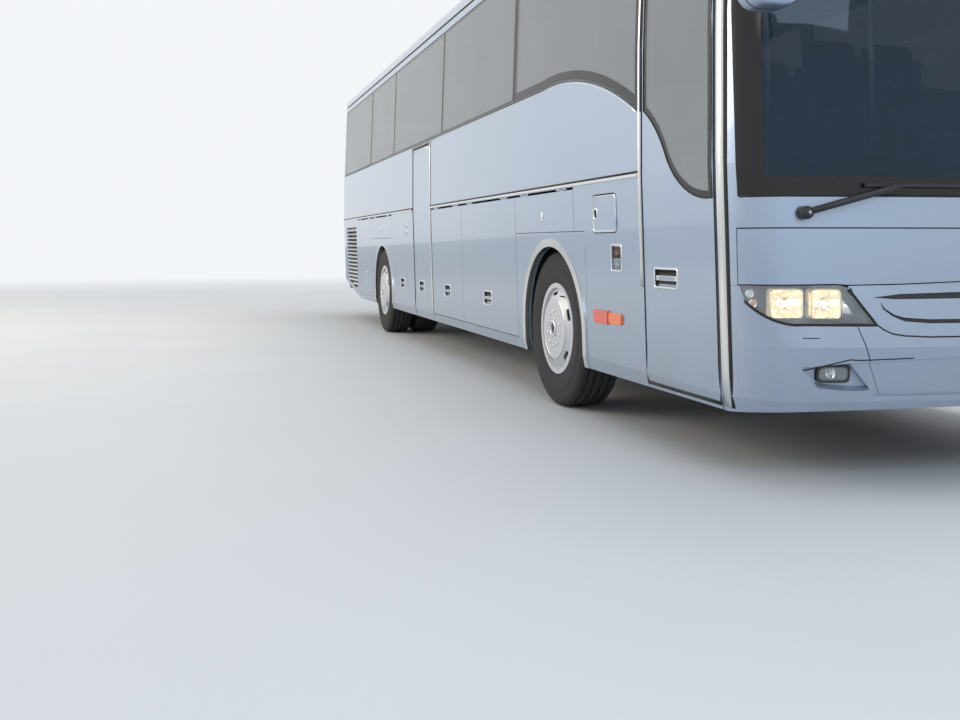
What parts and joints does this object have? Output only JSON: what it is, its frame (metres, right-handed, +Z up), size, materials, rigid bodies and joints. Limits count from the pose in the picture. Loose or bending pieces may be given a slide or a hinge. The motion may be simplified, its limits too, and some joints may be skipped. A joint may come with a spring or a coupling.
{
  "type": "coach bus",
  "caption": "Two-axle high-floor touring coach with outward-swinging entrance doors, luggage flaps, steered front wheels, twin rear wheels and a roof air-conditioning unit.",
  "frame": {"origin": "on the road under the centre of the coach's bounding box", "axes": "+X towards the front, +Y to the coach's left, +Z up"},
  "size_m": [12.225, 2.84, 3.65],
  "materials": {
    "black_plastic": "black plastic",
    "bright_metal": "polished aluminium",
    "cast": "dark casting",
    "dash_plastic": "dark grained plastic",
    "floor_cover": "studded floor cover",
    "frame_paint": "black chassis paint",
    "glass": "tinted glass",
    "lamp_glass": "clear lens",
    "paint": "silver-blue metallic",
    "red_lens": "red lens",
    "roof_white": "light grey moulding",
    "seat_fabric": "woven seat cover",
    "steel": "machined steel",
    "tyre_rubber": "black rubber",
    "wheel_silver": "silver wheel paint"
  },
  "bodies": {
    "coach_body": {"chassis_frame": "frame_paint", "dashboard": "dash_plastic", "driver_seat": "seat_fabric", "engine": "cast", "engine_louvres": "black_plastic", "front_axle": "cast", "front_bumper": "paint", "front_grille": "black_plastic", "front_mask": "paint", "headlamps": "lamp_glass", "left_wall": "paint", "luggage_hold": "steel", "luggage_racks": "dash_plastic", "mirrors": "black_plastic", "passenger_seats": "seat_fabric", "rear_axle": "cast", "rear_bumper": "paint", "rear_wall": "paint", "right_wall": "paint", "roof": "paint", "roof_unit": "roof_white", "rub_rails": "bright_metal", "saloon_floor": "floor_cover", "saloon_windows": "glass", "steering_wheel": "black_plastic", "tail_lamps": "red_lens", "tow_sockets": "steel", "wheel_housings": "black_plastic", "window_frames": "paint", "windscreen": "glass", "wipers": "black_plastic"},
    "steering_knuckle_right": {"knuckle_right": "cast"},
    "steering_knuckle_left": {"knuckle_left": "cast"},
    "steering_tie_rod": {"tie_rod": "steel"},
    "front_wheel_right": {"front_tyre_right": "tyre_rubber", "front_rim_right": "wheel_silver"},
    "front_wheel_left": {"front_tyre_left": "tyre_rubber", "front_rim_left": "wheel_silver"},
    "rear_wheels_right": {"rear_tyres_right": "tyre_rubber", "rear_rims_right": "wheel_silver"},
    "rear_wheels_left": {"rear_tyres_left": "tyre_rubber", "rear_rims_left": "wheel_silver"},
    "front_door_post": {"front_door_arm": "steel"},
    "front_door_leaf": {"front_door": "paint", "front_door_glass": "glass"},
    "mid_door_post": {"mid_door_arm": "steel"},
    "mid_door_leaf": {"mid_door": "paint"},
    "service_flap_links_body": {"service_flap_links": "steel"},
    "service_flap_body": {"service_flap": "paint"},
    "engine_lid_body": {"engine_lid": "paint"},
    "filler_flap_body": {"filler_flap": "paint"},
    "luggage_flap_right_rear_body": {"luggage_flap_right_rear": "paint"},
    "luggage_flap_right_front_body": {"luggage_flap_right_front": "paint"},
    "engine_flap_right_body": {"engine_flap_right": "paint"},
    "wheel_flap_front_body": {"wheel_flap_front": "paint"},
    "wheel_flap_rear_body": {"wheel_flap_rear": "paint"},
    "luggage_flap_left_rear_body": {"luggage_flap_left_rear": "paint"},
    "luggage_flap_left_middle_body": {"luggage_flap_left_middle": "paint"},
    "luggage_flap_left_front_body": {"luggage_flap_left_front": "paint"},
    "engine_flap_left_body": {"engine_flap_left": "paint"}
  },
  "joints": [
    {"name": "steer_right", "type": "hinge", "parent": "coach_body", "child": "steering_knuckle_right", "pos_m": [3.2625, -0.905, 0.522], "axis": [0, 0, 1], "range_deg": [-40, 40]},
    {"name": "steer_left", "type": "hinge", "parent": "coach_body", "child": "steering_knuckle_left", "pos_m": [3.2625, 0.905, 0.522], "axis": [0, 0, 1], "range_deg": [-40, 40]},
    {"name": "tie_rod_pivot", "type": "hinge", "parent": "steering_knuckle_right", "child": "steering_tie_rod", "pos_m": [3.0525, -0.835, 0.407], "axis": [0, 0, 1], "range_deg": [-40, 40]},
    {"name": "spin_front_right", "type": "hinge", "parent": "steering_knuckle_right", "child": "front_wheel_right", "pos_m": [3.2625, -1.075, 0.522], "axis": [0, 1, 0], "continuous": true},
    {"name": "spin_front_left", "type": "hinge", "parent": "steering_knuckle_left", "child": "front_wheel_left", "pos_m": [3.2625, 1.075, 0.522], "axis": [0, 1, 0], "continuous": true},
    {"name": "spin_rear_right", "type": "hinge", "parent": "coach_body", "child": "rear_wheels_right", "pos_m": [-2.8175, -0.935, 0.522], "axis": [0, 1, 0], "continuous": true},
    {"name": "spin_rear_left", "type": "hinge", "parent": "coach_body", "child": "rear_wheels_left", "pos_m": [-2.8175, 0.935, 0.522], "axis": [0, 1, 0], "continuous": true},
    {"name": "front_door_swing", "type": "hinge", "parent": "coach_body", "child": "front_door_post", "pos_m": [5.3825, -1.15, 1], "axis": [0, 0, 1], "range_deg": [0, 145]},
    {"name": "front_door_parallel", "type": "hinge", "parent": "front_door_post", "child": "front_door_leaf", "pos_m": [4.8625, -1.185, 1], "axis": [0, 0, 1], "range_deg": [-145, 0]},
    {"name": "mid_door_swing", "type": "hinge", "parent": "coach_body", "child": "mid_door_post", "pos_m": [-0.8725, -1.15, 1], "axis": [0, 0, 1], "range_deg": [-145, 0]},
    {"name": "mid_door_parallel", "type": "hinge", "parent": "mid_door_post", "child": "mid_door_leaf", "pos_m": [-0.3525, -1.185, 1], "axis": [0, 0, 1], "range_deg": [0, 145]},
    {"name": "luggage_flap_right_rear_hinge", "type": "hinge", "parent": "coach_body", "child": "luggage_flap_right_rear_body", "pos_m": [0.4155, -1.26874, 1.442], "axis": [-1, 0, 0], "range_deg": [0, 90]},
    {"name": "luggage_flap_right_front_hinge", "type": "hinge", "parent": "coach_body", "child": "luggage_flap_right_front_body", "pos_m": [1.7725, -1.26874, 1.442], "axis": [-1, 0, 0], "range_deg": [0, 90]},
    {"name": "engine_flap_right_hinge", "type": "hinge", "parent": "coach_body", "child": "engine_flap_right_body", "pos_m": [-4.1325, -1.26874, 1.442], "axis": [-1, 0, 0], "range_deg": [0, 90]},
    {"name": "wheel_flap_front_hinge", "type": "hinge", "parent": "coach_body", "child": "wheel_flap_front_body", "pos_m": [3.1395, -1.26874, 1.442], "axis": [-1, 0, 0], "range_deg": [0, 90]},
    {"name": "wheel_flap_rear_hinge", "type": "hinge", "parent": "coach_body", "child": "wheel_flap_rear_body", "pos_m": [-2.9005, -1.26874, 1.442], "axis": [-1, 0, 0], "range_deg": [0, 90]},
    {"name": "luggage_flap_left_rear_hinge", "type": "hinge", "parent": "coach_body", "child": "luggage_flap_left_rear_body", "pos_m": [-0.9025, 1.26874, 1.442], "axis": [1, 0, 0], "range_deg": [0, 90]},
    {"name": "luggage_flap_left_middle_hinge", "type": "hinge", "parent": "coach_body", "child": "luggage_flap_left_middle_body", "pos_m": [0.4155, 1.26874, 1.442], "axis": [1, 0, 0], "range_deg": [0, 90]},
    {"name": "luggage_flap_left_front_hinge", "type": "hinge", "parent": "coach_body", "child": "luggage_flap_left_front_body", "pos_m": [1.7725, 1.26874, 1.442], "axis": [1, 0, 0], "range_deg": [0, 90]},
    {"name": "engine_flap_left_hinge", "type": "hinge", "parent": "coach_body", "child": "engine_flap_left_body", "pos_m": [-4.1325, 1.26874, 1.442], "axis": [1, 0, 0], "range_deg": [0, 90]},
    {"name": "filler_flap_hinge", "type": "hinge", "parent": "coach_body", "child": "filler_flap_body", "pos_m": [4.3955, -1.27012, 1.2685], "axis": [0, 0, 1], "range_deg": [0, 120]},
    {"name": "service_flap_swing", "type": "hinge", "parent": "coach_body", "child": "service_flap_links_body", "pos_m": [5.8825, 0, 1.128], "axis": [0, -1, 0], "range_deg": [0, 95]},
    {"name": "service_flap_parallel", "type": "hinge", "parent": "service_flap_links_body", "child": "service_flap_body", "pos_m": [5.8825, 0, 0.948], "axis": [0, -1, 0], "range_deg": [-95, 0]},
    {"name": "engine_lid_hinge", "type": "hinge", "parent": "coach_body", "child": "engine_lid_body", "pos_m": [-6.0967, 0, 1.788], "axis": [0, 1, 0], "range_deg": [0, 80]}
  ],
  "couplings": [
    {"joint": "steer_left", "follows": "steer_right", "ratio": 1},
    {"joint": "tie_rod_pivot", "follows": "steer_right", "ratio": -1},
    {"joint": "front_door_parallel", "follows": "front_door_swing", "ratio": -1},
    {"joint": "mid_door_parallel", "follows": "mid_door_swing", "ratio": -1},
    {"joint": "service_flap_parallel", "follows": "service_flap_swing", "ratio": -1}
  ]
}
